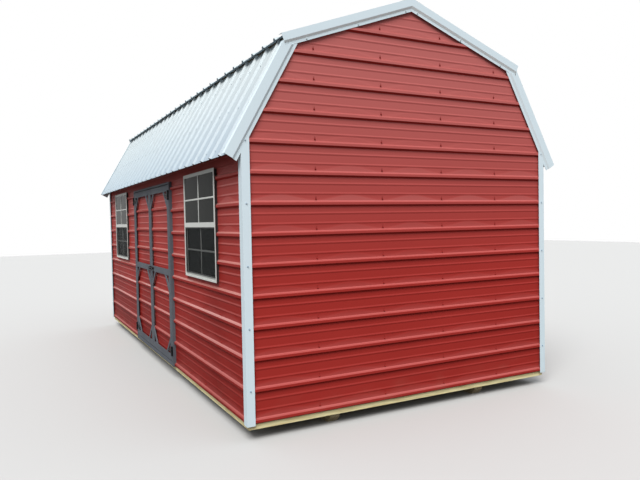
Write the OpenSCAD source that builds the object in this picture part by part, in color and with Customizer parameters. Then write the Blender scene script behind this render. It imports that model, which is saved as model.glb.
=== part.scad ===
// A small timber barn on skids: stud walls and gambrel roof clad in ribbed steel,
// with a double door between two windows on the long side that faces -Y.
// The origin is on the ground below the middle of the building, and +X runs along its length.

/* [Overall] */
// Length of the timber frame, from gable to gable
frame_length = 6054; // [5400:6:7200]
// Width of the timber frame
frame_width = 3006; // [2700:6:3400]
// Height of the wall studs
stud_height = 1879; // [1700:1:2200]

/* [Roof] */
// Slope of the lower roof, in degrees
lower_pitch = 60.5; // [58:0.5:63]
// Slope of the upper roof, in degrees
upper_pitch = 20; // [16:0.5:24]
// Distance from the wall face in to the break of the roof
break_in = 451; // [380:1:560]
// Width of the rafter's seat on the wall plate
rafter_seat = 32; // [20:1:60]
// Number of bays between the rafters
rafter_bays = 10; // [8:1:14]
// How far the lower roof runs down past the rafters' seat, along its slope
eave_run = 158; // [130:1:180]
// How far the upper roof laps past the outer line of the lower one, along its slope
break_lap = 60; // [20:1:80]
// Thickness of the roof boards
roof_board = 11; // [9:1:19]
// Depth of the ridge board
ridge_depth = 140; // [89:1:184]

/* [Timber] */
// Thickness of the framing timber
stud_t = 38; // [36:1:45]
// Depth of the framing timber
stud_d = 89; // [80:1:100]
// Width and height of the skids
skid = 89; // [80:1:140]
// Distance from the building's middle line to each skid's middle
skid_off = 752; // [600:1:1000]
// How far the skid ends stand back from the gable frame
skid_back = 60; // [20:1:150]
// Chamfer under the skid ends
skid_nose = 45; // [10:1:60]
// Height of the rim boards and joists
rim_height = 89; // [80:1:140]
// Thickness of the floor boards
floor_board = 16; // [12:1:22]
// Number of floor joists
joists = 14; // [10:1:20]
// Distance of the gable studs from one another
gable_stud_step = 610; // [400:1:620]

/* [Siding and roof sheet] */
// Thickness of the sheet as modelled
sheet_t = 2; // [1.5:0.1:3]
// Distance from rib to rib
rib_pitch = 228.6; // [150:0.1:300]
// Height of a main rib above the flat
rib_rise = 17.5; // [12:0.5:22]
// Width of a main rib at its foot
rib_foot = 46; // [40:1:60]
// Width of a main rib on top
rib_top = 19; // [12:1:26]
// Height of the two small ribs between the main ones
small_rise = 3; // [2:0.5:5]
// Width of a small rib at its foot
small_foot = 24; // [18:1:30]
// How far the siding laps down over the rim boards
siding_lap = 46; // [20:1:70]
// Height of the lowest rib's middle above the siding's bottom edge
first_rib = 18; // [5:1:60]
// Distance from the gable to the middle of the first roof rib
first_roof_rib = 143; // [100:1:200]

/* [Trim] */
// Thickness of the white trim
trim_t = 1.5; // [1:0.1:2.5]
// Width of each leg of the corner trim
corner_leg = 65; // [50:1:90]
// Height of the upper roof's rake trim, square to its slope
rake_height = 99; // [85:1:125]
// Height of the lower roof's rake trim, square to its slope
lower_rake_height = 110; // [85:1:125]
// Height of the rake trim's lower lip, which lies on the siding
rake_lip = 24; // [20:1:40]
// Height of the slanted step between the lip and the upper part
rake_slant = 18; // [8:1:25]
// How far the rake trim's upper part stands out from its lip
rake_out = 12; // [6:1:20]
// How far the rake trim's top reaches in over the roof
rake_top = 50; // [30:1:80]
// Length of each side of the ridge cap down its slope
ridge_leg = 80; // [60:1:150]

/* [Windows] */
// Width of a window over its frame
window_width = 930; // [700:1:1000]
// Height of a window over its frame
window_height = 937; // [700:1:1000]
// Distance from the building's middle to each window's middle
window_off = 1967; // [1800:1:2100]
// Distance from the top of the studs down to the window's top
window_drop = 48; // [30:1:300]
// Width of the window frame's face
frame_face = 16; // [14:1:45]
// Thickness of the window frame's body in the wall
frame_body = 8; // [6:1:12]
// How far the window frame stands out from the timber frame
frame_out = 30; // [24:1:35]
// Depth of the window frame behind the timber frame's face
frame_in = 50; // [40:1:80]
// Width of the sash stiles and of the top rail
sash_face = 13; // [11:1:35]
// Height of the two rails that meet
meeting_rail = 42; // [24:1:50]
// Height of the lower sash's bottom rail
lift_rail = 26; // [18:1:45]
// Depth of a sash
sash_depth = 14; // [12:1:26]
// How far the glass lies behind the face of its sash
glass_back = 4; // [2:1:8]
// Thickness of the glass
glass_t = 4; // [3:0.5:6]

/* [Doors] */
// Width of the pair of leaves over their outer edges
door_width = 1829; // [1600:1:1900]
// How far each leaf covers the post beside it
post_cover = 25; // [15:1:32]
// Height of the header over the doorway
header_height = 137; // [110:1:240]
// Height of the top rail's cover over the door header
header_cover = 45; // [20:1:60]
// Gap between the leaves, and between a leaf and what stands beside it
leaf_gap = 8; // [7:0.5:10]
// Distance from the timber frame's face to the back of the door panels
panel_stand = 5.5; // [5:0.5:16]
// Thickness of the boards on the leaves
board_t = 9; // [7:1:22]
// Width of the outer stiles
outer_stile = 76; // [64:1:110]
// Width of the meeting stiles
meeting_stile = 54; // [45:1:90]
// Width of the rails
rail = 64; // [50:1:90]
// Height of the middle rail's centre above the leaf's foot
mid_rail_up = 921; // [800:1:1050]
// Width of the corner braces
brace = 36; // [30:1:60]
// Length of a corner brace's leg along the stile
brace_leg = 175; // [120:1:220]
// Height of the lowest door rib's middle above the leaf's foot
first_door_rib = 226; // [60:1:240]
// Width of the trim round the doors
door_trim_face = 20; // [18:1:40]
// Height of the door sill
sill_height = 44; // [35:1:60]
// Width of the back frame's members
back_frame = 64; // [50:1:90]
// Gap left where separate pieces butt, and between the layers of the roof
butt = 0.3; // [0.2:0.1:0.5]

/* [Hinges and latch] */
// Length of the strap from the pin
strap_length = 175; // [130:1:300]
// Height of the strap at the knuckle
strap_height = 44; // [36:1:60]
// Height of the strap at its tip
strap_tip = 20; // [14:1:30]
// Height of the hinge plate's knuckle above and below the strap
plate_end = 28; // [20:1:40]
// Thickness of the strap
strap_t = 4; // [3:0.5:6]
// Radius of the hinge knuckle
knuckle_r = 8; // [6:0.5:12]
// Radius of the hinge pin
pin_r = 4; // [3:0.5:5]
// Gap between the knuckles of a hinge
knuckle_gap = 0.3; // [0.2:0.1:0.5]
// Distance from the ends of the leaf to the hinges
hinge_in = 107; // [90:1:200]
// Length of the latch's plate on the right leaf
latch_length = 130; // [90:1:160]
// Height of the latch's plate
latch_height = 36; // [30:1:50]

/* [Hidden] */

$fn = 16;
pine = "burlywood";
red_steel = "firebrick";
white_steel = "ghostwhite";
grey_paint = "slategray";

half_l = frame_length/2;
half_w = frame_width/2;
shell = sheet_t + rib_rise;

// Levels, from the ground up
rim_top = skid + rim_height;
deck_top = rim_top + floor_board;
plate_top = deck_top + stud_t;
stud_top = plate_top + stud_height;
wall_top = stud_top + 2*stud_t;
siding_low = rim_top - siding_lap;

// Distances square to the roof, counted from the underside of the rafters
board_low = stud_d + butt;
board_high = board_low + roof_board;
sheet_low = board_high + butt;
sheet_high = sheet_low + shell;
roof_high = sheet_high + trim_t;

// The break and the ridge, on the underside of the rafters
break_y = half_w - break_in;
break_z = wall_top + (break_in - rafter_seat)*tan(lower_pitch);
turn = cos(lower_pitch - upper_pitch);
eave_s = -(break_in - rafter_seat)/cos(lower_pitch) - eave_run;

// Heights of the two slopes of the front half at y, at a distance r from the rafters' underside
function lower_z(y, r) = break_z + (y + break_y)*tan(lower_pitch) + r/cos(lower_pitch);
function upper_z(y, r) = break_z + (y + break_y)*tan(upper_pitch) + r/cos(upper_pitch);
// A point on a slope: s along it, upwards from the break, and r square to it
function on_slope(a, s, r) = [-break_y + s*cos(a) - r*sin(a), break_z + s*sin(a) + r*cos(a)];
// Where the lower slope at r1 meets the upper slope at r2
function up_share(r1, r2) = (r2 - turn*r1)/(1 - turn*turn);
function low_share(r1, r2) = (r1 - turn*r2)/(1 - turn*turn);
function meet(r1, r2) = [
    -break_y - low_share(r1, r2)*sin(lower_pitch) - up_share(r1, r2)*sin(upper_pitch),
    break_z + low_share(r1, r2)*cos(lower_pitch) + up_share(r1, r2)*cos(upper_pitch)];
// The same meeting point as a distance along either slope
function meet_s_low(r1, r2) = up_share(r1, r2)*sin(lower_pitch - upper_pitch);
function meet_s_up(r1, r2) = -low_share(r1, r2)*sin(lower_pitch - upper_pitch);

lower_sheet_s = meet_s_low(roof_high, sheet_low);
upper_sheet_s = meet_s_up(roof_high, roof_high) - break_lap;
ridge_s = break_y/cos(upper_pitch);

// Ends of the roof
gable_x = half_l + shell;
roof_x = gable_x + rake_out;

// Windows
frame_lap = frame_face - frame_body;
window_top = stud_top - window_drop;
window_low = window_top - window_height;
hole_w = window_width - 2*frame_lap;
hole_low = window_low + frame_lap;
hole_high = window_top - frame_lap;

// Doors
leaf_x = door_width/2;
leaf_in = leaf_gap/2;
leaf_low = siding_low + sill_height + leaf_gap;
opening_top = stud_top - header_height;
leaf_high = opening_top + header_cover;
post_x = leaf_x - post_cover;
trim_x = leaf_x + leaf_gap;
trim_end = trim_x + door_trim_face;
trim_low = leaf_high + leaf_gap;
trim_top = trim_low + door_trim_face;
board_back = panel_stand + shell;
door_face = board_back + board_t;
mid_rail_z = leaf_low + mid_rail_up;
pin_x = leaf_x + leaf_gap/2;
pin_out = door_face + knuckle_r + knuckle_gap;
strap_z = [leaf_low + hinge_in, leaf_high - hinge_in];
plate_height = strap_height + 2*plate_end;
siding_split = min(hole_high, trim_top);
post_w = 2*stud_t;

module in_both_halves() {
    children();
    mirror([0, 1, 0]) children();
}

module at_both_ends() {
    children();
    mirror([1, 0, 0]) children();
}

// Extrudes an outline in Y and Z along X
module along_x(x0, x1) {
    translate([x0, 0, 0]) rotate([90, 0, 90]) linear_extrude(x1 - x0) children();
}

// Places what is drawn with Y up the slope and Z square to it
module on_roof(a) {
    translate([0, -break_y, break_z]) rotate([a, 0, 0]) children();
}

// Extrudes a section in X and Z along Y
module along_slope(s0, s1) {
    translate([0, s1, 0]) rotate([90, 0, 0]) linear_extrude(s1 - s0) children();
}

// A box by its lowest and highest corners
module block(low, high) {
    translate(low) cube(high - low);
}

// The same box on the front wall, with its depth counted outwards from the timber frame
module front_block(x0, x1, d0, d1, z0, z1) {
    block([x0, -half_w - d1, z0], [x1, -half_w - d0, z1]);
}

// A sheet's ribs as places and heights, from start on: the main ones alone, and with the two
// small ones between them
function main_rib(c) = [
    [c - rib_foot/2, 0], [c - rib_top/2, rib_rise], [c + rib_top/2, rib_rise], [c + rib_foot/2, 0]];
function small_rib(c) = [[c - small_foot/2, 0], [c, small_rise], [c + small_foot/2, 0]];
function main_ribs(start, count) = [for (k = [0 : count - 1], p = main_rib(start + k*rib_pitch)) p];
function all_ribs(start, count) = [
    for (k = [0 : count - 1], p = concat(main_rib(start + k*rib_pitch),
        small_rib(start + (k + 1/3)*rib_pitch), small_rib(start + (k + 2/3)*rib_pitch))) p];
function cut(table, t0, t1) = concat(
    [[t0, lookup(t0, table)]],
    [for (p = table) if (p[0] > t0 + 0.01 && p[0] < t1 - 0.01) p],
    [[t1, lookup(t1, table)]]);

// Section of a sheet between t0 and t1, with its ribs pointing up and one of them centred at c
module sheet_section(c, t0, t1) {
    start = c - (ceil((c - t0)/rib_pitch) + 1)*rib_pitch;
    count = ceil((t1 - t0)/rib_pitch) + 3;
    outer = cut(all_ribs(start, count), t0, t1);
    inner = cut(main_ribs(start, count), t0, t1);
    polygon(concat(
        [for (p = outer) [p[0], p[1] + sheet_t]],
        [for (i = [len(inner) - 1 : -1 : 0]) inner[i]]));
}

// Siding that faces -Y, from x0 to x1 and z0 to z1, with its back at y = -stand
module siding(stand, x0, x1, z0, z1, rib_z = siding_low + first_rib) {
    translate([x0, -stand, 0]) rotate([90, 0, 90]) linear_extrude(x1 - x0)
        rotate(90) sheet_section(rib_z, z0, z1);
}

// Outline of the gable under the roof boards
module gable_outline() {
    side = [[-half_w, siding_low], [-half_w, lower_z(-half_w, stud_d)], meet(stud_d, stud_d)];
    polygon(concat(side, [[0, upper_z(0, stud_d)]],
        [for (i = [2 : -1 : 0]) [-side[i][0], side[i][1]]]));
}

// Floor
module skids() {
    color(pine) in_both_halves()
        translate([0, skid/2 - skid_off, 0]) rotate([90, 0, 0]) linear_extrude(skid)
            polygon([[skid_nose + skid_back - half_l, 0], [half_l - skid_back - skid_nose, 0],
                [half_l - skid_back, skid_nose], [half_l - skid_back, skid],
                [skid_back - half_l, skid], [skid_back - half_l, skid_nose]]);
}

module side_rims() {
    color(pine) in_both_halves() block([-half_l, -half_w, skid], [half_l, stud_t - half_w, rim_top]);
}

module end_rims() {
    color(pine) at_both_ends()
        block([half_l - stud_t, stud_t - half_w, skid], [half_l, half_w - stud_t, rim_top]);
}

module floor_joists() {
    first = stud_t + rim_height*2 - half_l;
    step = -2*first/(joists - 1);
    color(pine) for (i = [0 : joists - 1])
        block([first + i*step - stud_t/2, stud_t - half_w, skid],
            [first + i*step + stud_t/2, half_w - stud_t, rim_top]);
}

module floor_deck() {
    color("tan") block([-half_l, -half_w, rim_top], [half_l, half_w, deck_top]);
}

// Walls
module bottom_plates() {
    color(pine) {
        at_both_ends() {
            block([post_x, -half_w, deck_top], [half_l, stud_d - half_w, plate_top]);
            block([half_l - stud_d, stud_d - half_w + butt, deck_top],
                [half_l, half_w - stud_d - butt, plate_top]);
        }
        block([-half_l, half_w - stud_d, deck_top], [half_l, half_w, plate_top]);
    }
}

module top_plates() {
    color(pine) {
        in_both_halves() block([-half_l, -half_w, stud_top], [half_l, stud_d - half_w, wall_top]);
        at_both_ends() block([half_l - stud_d, stud_d - half_w + butt, stud_top],
            [half_l, half_w - stud_d - butt, wall_top]);
    }
}

module stud(x, w, z0, z1) {
    block([x - w/2, -half_w, z0], [x + w/2, stud_d - half_w, z1]);
}

module front_studs() {
    color(pine) at_both_ends() {
        stud(half_l - stud_t/2, stud_t, plate_top, stud_top);
        stud(window_off + (hole_w + stud_t)/2, stud_t, plate_top, stud_top);
        stud(window_off - (hole_w + stud_t)/2, stud_t, plate_top, stud_top);
        stud(post_x + post_w/2, post_w, plate_top, stud_top);
        stud(window_off, stud_t, plate_top, hole_low - stud_t);
    }
}

module back_studs() {
    step = (frame_length - stud_t)/rafter_bays;
    color(pine) mirror([0, 1, 0]) for (i = [0 : rafter_bays])
        stud(stud_t/2 - half_l + i*step, stud_t, plate_top, stud_top);
}

module end_studs() {
    inner = half_w - stud_d - stud_t/2;
    color(pine) at_both_ends() {
        for (y = [-inner, -1.5*gable_stud_step, -gable_stud_step/2, gable_stud_step/2,
                1.5*gable_stud_step, inner])
            block([half_l - stud_d, y - stud_t/2, plate_top], [half_l, y + stud_t/2, stud_top]);
        intersection() {
            for (y = [-1.5, -0.5, 0.5, 1.5])
                block([half_l - stud_d, y*gable_stud_step - stud_t/2, wall_top],
                    [half_l, y*gable_stud_step + stud_t/2, upper_z(0, 0)]);
            along_x(0, half_l + 1) under_rafters();
        }
    }
}

// Outline under the rafters
module under_rafters() {
    side = [[-half_w, wall_top - 1], [rafter_seat - half_w, wall_top], [-break_y, break_z]];
    translate([0, -butt])
        polygon(concat(side, [[0, upper_z(0, 0)]], [for (i = [2 : -1 : 0]) [-side[i][0], side[i][1]]]));
}

module headers_and_sills() {
    color(pine) {
        block([-post_x, -half_w, opening_top], [post_x, stud_d - half_w, stud_top]);
        at_both_ends() {
            stud(window_off, hole_w, hole_low - stud_t, hole_low);
            stud(window_off, hole_w, hole_high, stud_top);
        }
    }
}

// Roof timbers
module at_rafters() {
    step = (frame_length - stud_t)/rafter_bays;
    for (i = [0 : rafter_bays])
        along_x(i*step - half_l, i*step - half_l + stud_t) children();
}

module lower_rafters() {
    color(pine) in_both_halves() at_rafters()
        polygon([[-half_w, wall_top], [rafter_seat - half_w, wall_top], [-break_y, break_z],
            meet(stud_d, stud_d), [-half_w, lower_z(-half_w, stud_d)]]);
}

module upper_rafters() {
    top = -stud_t/2;
    color(pine) in_both_halves() at_rafters()
        polygon([[-break_y, break_z], [top, upper_z(top, 0)], [top, upper_z(top, stud_d)],
            meet(stud_d, stud_d)]);
}

module ridge_board() {
    top = upper_z(-stud_t/2, stud_d);
    color(pine) block([-half_l, -stud_t/2, top - ridge_depth], [half_l, stud_t/2, top]);
}

module lower_roof_boards() {
    low = eave_s + 2*roof_board;
    color("tan") in_both_halves() along_x(-gable_x, gable_x)
        polygon([on_slope(lower_pitch, low, board_low), meet(board_low, stud_d),
            meet(board_high, stud_d), on_slope(lower_pitch, low, board_high)]);
}

module upper_roof_boards() {
    top = -roof_board;
    color("tan") in_both_halves() along_x(-gable_x, gable_x)
        polygon([meet(board_high, board_low), [top, upper_z(top, board_low)],
            [top, upper_z(top, board_high)], meet(board_high, board_high)]);
}

// Siding
module front_siding_lower() {
    color(red_steel) at_both_ends() siding(half_w, trim_end, half_l, siding_low, hole_low);
}

module front_siding_piers() {
    color(red_steel) at_both_ends() {
        siding(half_w, trim_end, window_off - hole_w/2, hole_low, siding_split);
        siding(half_w, window_off + hole_w/2, half_l, hole_low, siding_split);
    }
}

module front_siding_upper() {
    color(red_steel) difference() {
        siding(half_w, -half_l, half_l, siding_split, siding_top());
        at_windows() front_block(-hole_w/2, hole_w/2, -1, shell + 1, hole_low, hole_high);
        front_block(-trim_end, trim_end, -1, shell + 1, leaf_low, trim_top);
    }
}

module back_siding() {
    color(red_steel) mirror([0, 1, 0]) siding(half_w, -half_l, half_l, siding_low, siding_top());
}

// The side siding reaches up to the roof boards
function siding_top() = lower_z(-half_w - shell, stud_d);

module right_gable_siding() {
    color(red_steel) intersection() {
        rotate([0, 0, 90]) siding(half_l, -half_w, half_w, siding_low, upper_z(0, stud_d));
        along_x(half_l - 1, gable_x + 1) gable_outline();
    }
}

module left_gable_siding() {
    mirror([1, 0, 0]) right_gable_siding();
}

// White trim
module corner_trims() {
    low = siding_low - 8*trim_t;
    face = -half_w - shell;
    color(white_steel) at_both_ends() in_both_halves() {
        block([gable_x + trim_t - corner_leg, face - trim_t, low],
            [gable_x, face, lower_z(face - trim_t, stud_d)]);
        along_x(gable_x, gable_x + trim_t)
            polygon([for (p = [[face - trim_t, 0], [face + corner_leg - trim_t, 0],
                [face + corner_leg - trim_t, 1], [face - trim_t, 1]])
                [p[0], p[1] == 0 ? low : lower_z(p[0], roof_high - lower_rake_height)]]);
    }
}

// Section of a rake trim of a height on a gable at x, from its lip to its top
module rake_section(x, height) {
    lip = roof_high - height;
    step = lip + rake_lip;
    face = x + rake_out;
    polygon([[x, lip], [x, step], [face, step + rake_slant], [face, sheet_high],
        [face + trim_t - rake_top, sheet_high], [face + trim_t - rake_top, roof_high],
        [face + trim_t, roof_high], [face + trim_t, step + rake_slant - trim_t],
        [x + trim_t, step - trim_t], [x + trim_t, lip]]);
}

// The place at the break that the upper rake trim takes up, outwards from x
module upper_trim_place(x) {
    on_roof(upper_pitch) block([x, upper_sheet_s - butt, roof_high - rake_height - butt],
        [2*half_l, ridge_s, 2*roof_high]);
}

module lower_rake_trims() {
    color(white_steel) at_both_ends() in_both_halves() difference() {
        on_roof(lower_pitch) along_slope(eave_s, lower_sheet_s) rake_section(gable_x, lower_rake_height);
        upper_trim_place(0);
    }
}

module upper_rake_pair() {
    color(white_steel) at_both_ends() intersection() {
        on_roof(upper_pitch) along_slope(upper_sheet_s, ridge_s + roof_high)
            rake_section(gable_x + trim_t, rake_height);
        block([0, -half_w, 0], [2*half_l, 0, 2*break_z]);
    }
}

module front_upper_rake_trims() {
    upper_rake_pair();
}

module back_upper_rake_trims() {
    mirror([0, 1, 0]) upper_rake_pair();
}

// Roof sheet
module roof_sheet(a, s0, s1) {
    color(white_steel) on_roof(a) translate([0, 0, sheet_low]) along_slope(s0, s1)
        sheet_section(roof_x - first_roof_rib, -roof_x, roof_x);
}

module lower_roof_sheets() {
    in_both_halves() difference() {
        roof_sheet(lower_pitch, eave_s, lower_sheet_s);
        at_both_ends() upper_trim_place(gable_x);
    }
}

module upper_roof_sheets() {
    in_both_halves() roof_sheet(upper_pitch, upper_sheet_s, ridge_s - roof_board/cos(upper_pitch));
}

module ridge_cap() {
    s = ridge_s - ridge_leg;
    x = roof_x + 2*trim_t;
    low_end = on_slope(upper_pitch, s, roof_high);
    high_end = on_slope(upper_pitch, s, roof_high + trim_t);
    color(white_steel) along_x(-x, x)
        polygon([low_end, [0, upper_z(0, roof_high)], [-low_end[0], low_end[1]],
            [-high_end[0], high_end[1]], [0, upper_z(0, roof_high + trim_t)], high_end]);
}

// Windows
module at_windows() {
    at_both_ends() translate([window_off, 0, 0]) children();
}

// A bar of the window frame: its face on the ribs and its body in the hole
module frame_bar(x0, x1, z0, z1, bx0, bx1, bz0, bz1) {
    front_block(x0, x1, shell, frame_out, z0, z1);
    front_block(bx0, bx1, -frame_in, shell, bz0, bz1);
}

module window_frames() {
    w = window_width/2;
    h = hole_w/2 - 1;
    inner = w - frame_face;
    low = window_low + frame_face;
    high = window_top - frame_face;
    color(white_steel) at_windows() {
        frame_bar(-w, w, window_low, low, -h, h, hole_low + 1, low);
        frame_bar(-w, w, high, window_top, -h, h, high, hole_high - 1);
        for (m = [0, 1]) mirror([m, 0, 0])
            frame_bar(inner, w, low + butt, high - butt, inner, h, low + butt, high - butt);
    }
}

sash_w = window_width/2 - frame_face - butt;
sash_low = window_low + frame_face + butt;
sash_high = window_top - frame_face - butt;
upper_sash_d = frame_out - sash_depth - 1;
lower_sash_d = upper_sash_d - sash_depth - 2;

// The two panes are of one height, and the meeting rails are between them
rails_z = (sash_low + lift_rail + sash_high - sash_face)/2;

// Two rails and two stiles that butt, with their back at depth d
module sash(d, z0, z1, low_rail, high_rail) {
    front_block(-sash_w, sash_w, d, d + sash_depth, z0, z0 + low_rail);
    front_block(-sash_w, sash_w, d, d + sash_depth, z1 - high_rail, z1);
    for (m = [0, 1]) mirror([m, 0, 0])
        front_block(sash_w - sash_face, sash_w, d, d + sash_depth,
            z0 + low_rail + butt, z1 - high_rail - butt);
}

module window_sashes() {
    color(white_steel) at_windows() {
        sash(upper_sash_d, rails_z - meeting_rail/2, sash_high, meeting_rail, sash_face);
        sash(lower_sash_d, sash_low, rails_z + meeting_rail/2, lift_rail, meeting_rail);
    }
}

module pane(d, z0, z1) {
    face = d + sash_depth - glass_back;
    front_block(sash_face - sash_w + butt, sash_w - sash_face - butt, face - glass_t, face,
        z0 + butt, z1 - butt);
}

module window_glass() {
    color("lightslategray", 0.4) at_windows() {
        pane(upper_sash_d, rails_z + meeting_rail/2, sash_high - sash_face);
        pane(lower_sash_d, sash_low + lift_rail, rails_z - meeting_rail/2);
    }
}

// Doors
module door_trim() {
    color(grey_paint) {
        at_both_ends() front_block(trim_x, trim_end, 0, door_face, siding_low + sill_height, trim_low - butt);
        front_block(-trim_end, trim_end, 0, door_face, trim_low, trim_top);
    }
}

module door_sill() {
    color(grey_paint) front_block(-trim_end, trim_end, 0, door_face, siding_low, siding_low + sill_height);
}

// Board outlines are drawn as the leaf is seen from the front, with X and Z as x and y
module board(d0, d1) {
    translate([0, -half_w - d0, 0]) rotate([90, 0, 0]) linear_extrude(d1 - d0) children();
}

// A corner brace in the corner at x, z, which opens towards sx and sz
module brace_outline(x, z, sx, sz) {
    far = brace_leg;
    near = brace_leg - brace*sqrt(2);
    polygon([for (p = [[butt, far], [butt, near], [near, butt], [far, butt]]) [x + sx*p[0], z + sz*p[1]]]);
}

// The right leaf's boards
module leaf_boards() {
    x0 = leaf_in + meeting_stile;
    x1 = leaf_x - outer_stile;
    rail_low = leaf_low + rail;
    rail_high = leaf_high - rail;
    mid_low = mid_rail_z - rail/2;
    mid_high = mid_rail_z + rail/2;
    color(grey_paint) board(board_back, door_face) {
        translate([leaf_in, leaf_low]) square([meeting_stile, leaf_high - leaf_low]);
        translate([x1, leaf_low]) square([outer_stile, leaf_high - leaf_low]);
        for (z = [leaf_low, mid_low, rail_high])
            translate([x0 + butt, z]) square([x1 - x0 - 2*butt, rail]);
        for (c = [[rail_low, 1], [mid_low, -1], [rail_high, -1]]) {
            brace_outline(x0, c[0], 1, c[1]);
            brace_outline(x1, c[0], -1, c[1]);
        }
    }
}

module leaf_panel() {
    color(red_steel) siding(half_w + panel_stand, leaf_in, leaf_x, leaf_low, leaf_high, leaf_low + first_door_rib);
}

// The frame behind the panel, which goes in between the posts
module leaf_back_frame() {
    x0 = leaf_gap;
    x1 = post_x - 1.5*leaf_gap;
    z0 = deck_top + leaf_gap;
    z1 = opening_top - 1.5*leaf_gap;
    d1 = panel_stand;
    d0 = panel_stand - stud_t;
    color(pine) {
        for (x = [x0, x1 - back_frame]) front_block(x, x + back_frame, d0, d1, z0, z1);
        for (z = [z0, mid_rail_z - back_frame/2, z1 - back_frame])
            front_block(x0 + back_frame + butt, x1 - back_frame - butt, d0, d1, z, z + back_frame);
    }
}

// Strap hinges. The pin stands in front of the gap between the leaf and the trim
module at_hinges() {
    for (z = strap_z) translate([pin_x, -half_w - pin_out, z]) children();
}

module strap() {
    back = pin_out - door_face;
    h = strap_height - 2*knuckle_gap;
    difference() {
        union() {
            cylinder(h = h, r = knuckle_r, center = true);
            translate([0, back, 0]) rotate([90, 0, 0]) linear_extrude(strap_t)
                polygon([[0, -h/2], [0, h/2], [-2*knuckle_r, h/2], [-strap_length + strap_tip/2, strap_tip/2],
                    [-strap_length, 0], [-strap_length + strap_tip/2, -strap_tip/2], [-2*knuckle_r, -h/2]]);
        }
        cylinder(h = h + 2, r = pin_r + knuckle_gap, center = true);
    }
}

module leaf_straps() {
    color("black") at_hinges() strap();
}

module plate() {
    back = pin_out - door_face;
    plate_end_x = trim_end - pin_x;
    clear_x = knuckle_r + 2*knuckle_gap;
    for (m = [0, 1]) mirror([0, 0, m]) {
        translate([0, 0, strap_height/2]) cylinder(h = plate_end, r = knuckle_r);
        block([0, back - strap_t, strap_height/2], [plate_end_x, back, plate_height/2]);
    }
    block([clear_x, back - strap_t, -plate_height/2], [plate_end_x, back, plate_height/2]);
    cylinder(h = plate_height, r = pin_r, center = true);
}

module hinge_plates() {
    color("black") at_both_ends() at_hinges() plate();
}

// Slide latch: its plate and barrel are on the right leaf and its keeper is on the left one
barrel_r = latch_height/4;
barrel_d = door_face + strap_t + barrel_r - 1;

module latch_bar(x0, x1, r) {
    translate([x0, -half_w - barrel_d, mid_rail_z]) rotate([0, 90, 0]) cylinder(h = x1 - x0, r = r);
}

module latch_bolt() {
    x0 = 2*leaf_gap;
    color("black") {
        front_block(x0, x0 + latch_length, door_face, door_face + strap_t,
            mid_rail_z - latch_height/2, mid_rail_z + latch_height/2);
        latch_bar(leaf_gap, x0 + latch_length - leaf_gap, barrel_r);
    }
}

module latch_keeper() {
    x1 = -leaf_gap;
    x0 = x1 - 2*latch_height/3;
    color("black") difference() {
        front_block(x0, x1, door_face, barrel_d + barrel_r + strap_t,
            mid_rail_z - latch_height/2, mid_rail_z + latch_height/2);
        latch_bar(x0 - 1, x1 + 1, barrel_r + 1);
    }
}

module left_door_boards() {
    mirror([1, 0, 0]) leaf_boards();
}

module left_door_panel() {
    mirror([1, 0, 0]) leaf_panel();
}

module left_door_back_frame() {
    mirror([1, 0, 0]) leaf_back_frame();
}

module left_door_straps() {
    mirror([1, 0, 0]) leaf_straps();
}

module right_door_boards() {
    leaf_boards();
}

module right_door_panel() {
    leaf_panel();
}

module right_door_back_frame() {
    leaf_back_frame();
}

module right_door_straps() {
    leaf_straps();
}

skids();
side_rims();
end_rims();
floor_joists();
floor_deck();
bottom_plates();
top_plates();
front_studs();
back_studs();
end_studs();
headers_and_sills();
lower_rafters();
upper_rafters();
ridge_board();
lower_roof_boards();
upper_roof_boards();
front_siding_lower();
front_siding_piers();
front_siding_upper();
back_siding();
right_gable_siding();
left_gable_siding();
corner_trims();
lower_rake_trims();
front_upper_rake_trims();
back_upper_rake_trims();
lower_roof_sheets();
upper_roof_sheets();
ridge_cap();
window_frames();
window_sashes();
window_glass();
door_trim();
door_sill();
hinge_plates();
left_door_boards();
left_door_panel();
left_door_back_frame();
left_door_straps();
latch_keeper();
right_door_boards();
right_door_panel();
right_door_back_frame();
right_door_straps();
latch_bolt();
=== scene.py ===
import math

import bmesh
import bpy
from mathutils import Matrix, Vector


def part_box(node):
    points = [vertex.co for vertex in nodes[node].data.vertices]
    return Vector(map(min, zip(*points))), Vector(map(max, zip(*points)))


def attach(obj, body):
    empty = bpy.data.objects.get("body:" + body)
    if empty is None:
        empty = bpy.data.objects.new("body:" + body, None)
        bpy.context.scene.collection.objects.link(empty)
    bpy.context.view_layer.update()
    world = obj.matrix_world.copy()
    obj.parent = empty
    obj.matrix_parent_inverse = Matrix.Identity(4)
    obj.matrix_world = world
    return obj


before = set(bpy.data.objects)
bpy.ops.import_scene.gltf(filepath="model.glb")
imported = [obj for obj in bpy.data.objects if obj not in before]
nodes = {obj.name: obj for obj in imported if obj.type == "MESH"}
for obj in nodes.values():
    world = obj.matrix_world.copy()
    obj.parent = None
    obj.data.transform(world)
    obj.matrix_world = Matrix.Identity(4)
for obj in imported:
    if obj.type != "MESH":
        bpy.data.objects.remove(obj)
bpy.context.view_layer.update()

# the camera, at the photograph's angle
camera = {
    "place": (7.137, -3.043, 1.615),
    "yaw": 2.6583,
    "pitch": -0.0317,
    "roll": 0.0193,
    "focalPixels": 600.5,
    "pictureWidth": 640,
    "sensor": 36.0,
    "farthest": 200,
}


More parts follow.
